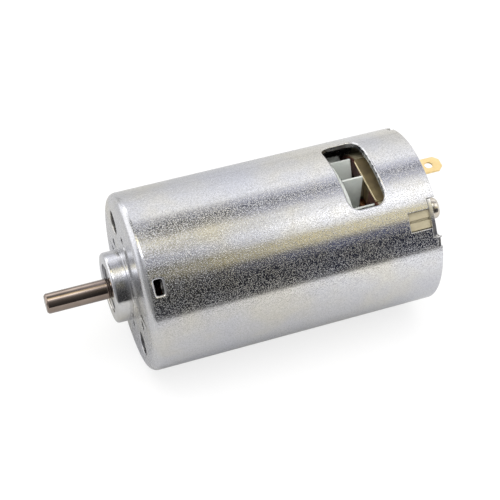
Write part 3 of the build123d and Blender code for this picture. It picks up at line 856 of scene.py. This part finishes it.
for node, cad in frame["nodes"].items():
    if not cad.hide_render:
        cad.data.materials.clear()
        cad.data.materials.append(finishes[slot_of[node]])
        for polygon in cad.data.polygons:
            polygon.use_smooth = True

# ---------------------------------------------------------------- stage, light and camera
floor_shape = bmesh.new()
FLOOR_RADIUS = 6
bmesh.ops.create_circle(floor_shape, cap_ends=True, segments=96, radius=FLOOR_RADIUS)
floor_mesh = bpy.data.meshes.new("floor")
floor_shape.to_mesh(floor_mesh)
floor_shape.free()
floor = bpy.data.objects.new("floor", floor_mesh)
floor.location.z = -CAN * MM
bpy.context.scene.collection.objects.link(floor)
paper = Shader("white_paper")
paper.set(base_color=(0.24, 0.24, 0.24), roughness=0.9, specular_ior_level=0.1)
paper.surface.inputs["Emission Color"].default_value = (1, 1, 1, 1)
paper.surface.inputs["Emission Strength"].default_value = 0.7
# what the plating mirrors: painted light, a glowing sheet that ends in front of the object, with painted shade making
# it much dimmer towards the shaft and a painted shadow under and behind the object
mirrored = paper.node("ShaderNodeBsdfPrincipled")
sheet = paper.remap(paper.coordinate("Y"), (-0.56, -0.17), curve="SMOOTHSTEP")
# painted shade: the glow falls off towards the shaft
length = paper.remap(paper.coordinate("X"), (0.02, 0.14), (0.08, 0.54), curve="SMOOTHSTEP")
# painted shadow: the glow drops to half under the object and behind it
under = paper.remap(paper.coordinate("Y"), (-0.025, -0.07), (0.5, 1.0), curve="SMOOTHSTEP")
paper.link(paper.mix(sheet, (0.03, 0.03, 0.03), (0.42, 0.42, 0.42)), mirrored.inputs["Base Color"])
shaded = paper.node("ShaderNodeMath", operation="MULTIPLY")
paper.link(under, shaded.inputs[0])
paper.link(length, shaded.inputs[1])
glow = paper.node("ShaderNodeMath", operation="MULTIPLY")
paper.link(sheet, glow.inputs[0])
paper.link(shaded.outputs[0], glow.inputs[1])
mirrored.inputs["Roughness"].default_value = 0.9
mirrored.inputs["Emission Color"].default_value = (0.985, 0.99, 1.02, 1)
paper.link(glow.outputs[0], mirrored.inputs["Emission Strength"])
seen = paper.node("ShaderNodeLightPath")
either = paper.node("ShaderNodeMixShader")
paper.link(seen.outputs["Is Camera Ray"], either.inputs[0])
paper.link(mirrored.outputs[0], either.inputs[1])
paper.link(paper.surface.outputs[0], either.inputs[2])
paper.link(either.outputs[0], paper.output.inputs[0])
floor_mesh.materials.append(paper.material)


def sky():
    """A soft studio round the object: a bright overhead strip, grey drapes beside it and a dark near wall."""
    world = bpy.data.worlds.new("studio")
    world.use_nodes = True
    tree = world.node_tree
    nodes, link = tree.nodes, tree.links.new
    nodes.clear()
    way = nodes.new("ShaderNodeTexCoord").outputs["Generated"]
    split = nodes.new("ShaderNodeSeparateXYZ")
    link(way, split.inputs[0])
    less = nodes.new("ShaderNodeMath")
    less.operation = "MULTIPLY"
    less.inputs[1].default_value = -1
    link(split.outputs["Y"], less.inputs[0])
    angle = nodes.new("ShaderNodeMath")
    angle.operation = "ARCTAN2"
    link(less.outputs[0], angle.inputs[0])
    link(split.outputs["Z"], angle.inputs[1])
    spread = nodes.new("ShaderNodeMapRange")
    spread.inputs["From Min"].default_value = -pi
    spread.inputs["From Max"].default_value = pi
    link(angle.outputs[0], spread.inputs["Value"])

    def strip(stops):
        made = nodes.new("ShaderNodeValToRGB")
        made.color_ramp.interpolation = "EASE"
        steps = made.color_ramp.elements
        while len(steps) < len(stops):
            steps.new(0.5)
        for step, (turn, level, tint) in zip(steps, stops):
            step.position = (turn + 180) / 360
            step.color = (level * tint[0], level * tint[1], level * tint[2], 1)
        link(spread.outputs[0], made.inputs["Fac"])
        return made.outputs["Color"]

    plain, cool, warm, navy = (1, 1, 1), (0.95, 0.965, 1.09), (1.1, 1.0, 0.66), (0.82, 0.88, 1.35)
    # each strip: (angle round the shaft in degrees, 0 overhead; brightness; tint)
    rear = strip(
        [(-180, 0.95, plain), (-120, 0.92, plain), (-104, 0.82, plain), (-84, 0.86, plain), (-52, 1.24, plain)]
        + [(-40, 1.4, plain), (-30, 0.84, cool), (-21, 0.35, cool), (-12, 0.7, cool), (2, 1.4, plain), (16, 2.0, plain)]
        + [(27, 1.5, plain), (35, 0.88, warm), (42, 0.95, warm), (52, 0.2, navy), (66, 0.04, navy), (90, 0.045, navy)]
        + [(180, 0.9, plain)]
    )
    front = strip(
        [(-180, 0.9, plain), (-120, 0.88, plain), (-104, 0.78, plain), (-84, 0.85, plain), (-52, 1.18, plain)]
        + [(-42, 1.25, plain), (-33, 0.42, plain), (-24, 0.06, cool), (-13, 0.14, warm), (-2, 0.7, warm)]
        + [(6, 0.44, warm), (20, 0.31, cool), (32, 0.18, warm), (40, 0.25, warm), (48, 0.07, warm), (66, 0.025, plain)]
        + [(90, 0.04, cool), (180, 0.9, plain)]
    )
    nose = strip(
        [(-180, 0.8, plain), (-128, 0.84, plain), (-96, 0.58, plain), (-64, 1.05, cool), (-48, 1.0, cool)]
        + [(-32, 0.88, cool), (-16, 1.15, plain), (0, 0.95, plain), (13, 0.55, plain), (28, 0.07, plain)]
        + [(48, 0.06, plain), (64, 0.03, plain), (90, 0.035, cool), (180, 0.8, cool)]
    )
    tip = strip(
        [(-180, 0.3, plain), (-96, 0.26, plain), (-80, 0.9, plain), (-62, 2.2, plain), (-50, 1.2, plain)]
        + [(-38, 0.3, plain), (-22, 0.3, plain), (-10, 1.8, warm), (3, 3.4, plain), (16, 0.8, plain), (32, 0.26, plain)]
        + [(48, 0.16, plain), (64, 0.1, plain), (90, 0.06, plain), (180, 0.8, plain)]
    )
    side = strip([(-180, 0.95, plain), (180, 0.95, plain)])
    bow = strip(
        [(-180, 0.9, plain), (-130, 1.0, plain), (-90, 1.6, plain), (-25, 1.5, plain), (5, 0.5, plain)]
        + [(60, 0.32, plain), (110, 0.3, plain), (140, 0.7, plain), (180, 0.9, plain)]
    )

    def blend(low, high, one, other):
        """One strip up to where the view runs along the shaft by low, the other from high on."""
        along = nodes.new("ShaderNodeMapRange")
        along.interpolation_type = "SMOOTHSTEP"
        along.inputs["From Min"].default_value = low
        along.inputs["From Max"].default_value = high
        link(split.outputs["X"], along.inputs["Value"])
        both = nodes.new("ShaderNodeMix")
        both.data_type = "RGBA"
        link(along.outputs[0], both.inputs[0])
        link(one, both.inputs[6])
        link(other, both.inputs[7])
        return both.outputs[2]

    room = bow
    for low, high, following in (
        (-0.45, -0.25, tip),
        (0.102, 0.118, nose),
        (0.132, 0.15, front),
        (0.15, 0.33, rear),
        (0.6, 0.75, side),
    ):
        room = blend(low, high, room, following)
    studio = nodes.new("ShaderNodeBackground")
    studio.inputs["Strength"].default_value = 1.0
    link(room, studio.inputs["Color"])
    plain_white = nodes.new("ShaderNodeBackground")
    plain_white.inputs["Color"].default_value = (1.05, 1.05, 1.05, 1)
    path = nodes.new("ShaderNodeLightPath")
    choose = nodes.new("ShaderNodeMixShader")
    link(path.outputs["Is Camera Ray"], choose.inputs[0])
    link(studio.outputs[0], choose.inputs[1])
    link(plain_white.outputs[0], choose.inputs[2])
    link(choose.outputs[0], nodes.new("ShaderNodeOutputWorld").inputs[0])
    bpy.context.scene.world = world


sky()


def lamp(name, size, power, place, target, tone=(1, 1, 1)):
    data = bpy.data.lights.new(name, "AREA")
    data.shape = "RECTANGLE"
    data.size, data.size_y = size
    data.energy = power
    data.color = tone
    made = bpy.data.objects.new(name, data)
    made.location = place
    made.rotation_euler = (Vector(target) - Vector(place)).to_track_quat("-Z", "Y").to_euler()
    bpy.context.scene.collection.objects.link(made)
    made.visible_glossy = False
    return made


lamp("overhead_softbox", (0.7, 0.7), 4.0, (0.05, -0.1, 0.7), (0.03, 0, 0))
lamp("near_fill", (0.9, 0.5), 6.0, (-0.25, -0.8, 0.45), (0.04, 0, 0.005))

camera = bpy.data.objects.new("camera", bpy.data.cameras.new("camera"))
camera.data.lens = 93.6
camera.data.sensor_width = 36
camera.data.shift_x = -0.0033
camera.data.shift_y = 0.0052
camera.data.clip_start = 0.01
camera.location = Vector((-42.976, -194.021, 248.333)) * MM
camera.rotation_euler = Euler((radians(39.899), radians(-1.458), radians(-19.373)))
bpy.context.scene.collection.objects.link(camera)
bpy.context.scene.camera = camera
bpy.context.scene.view_settings.view_transform = "Standard"
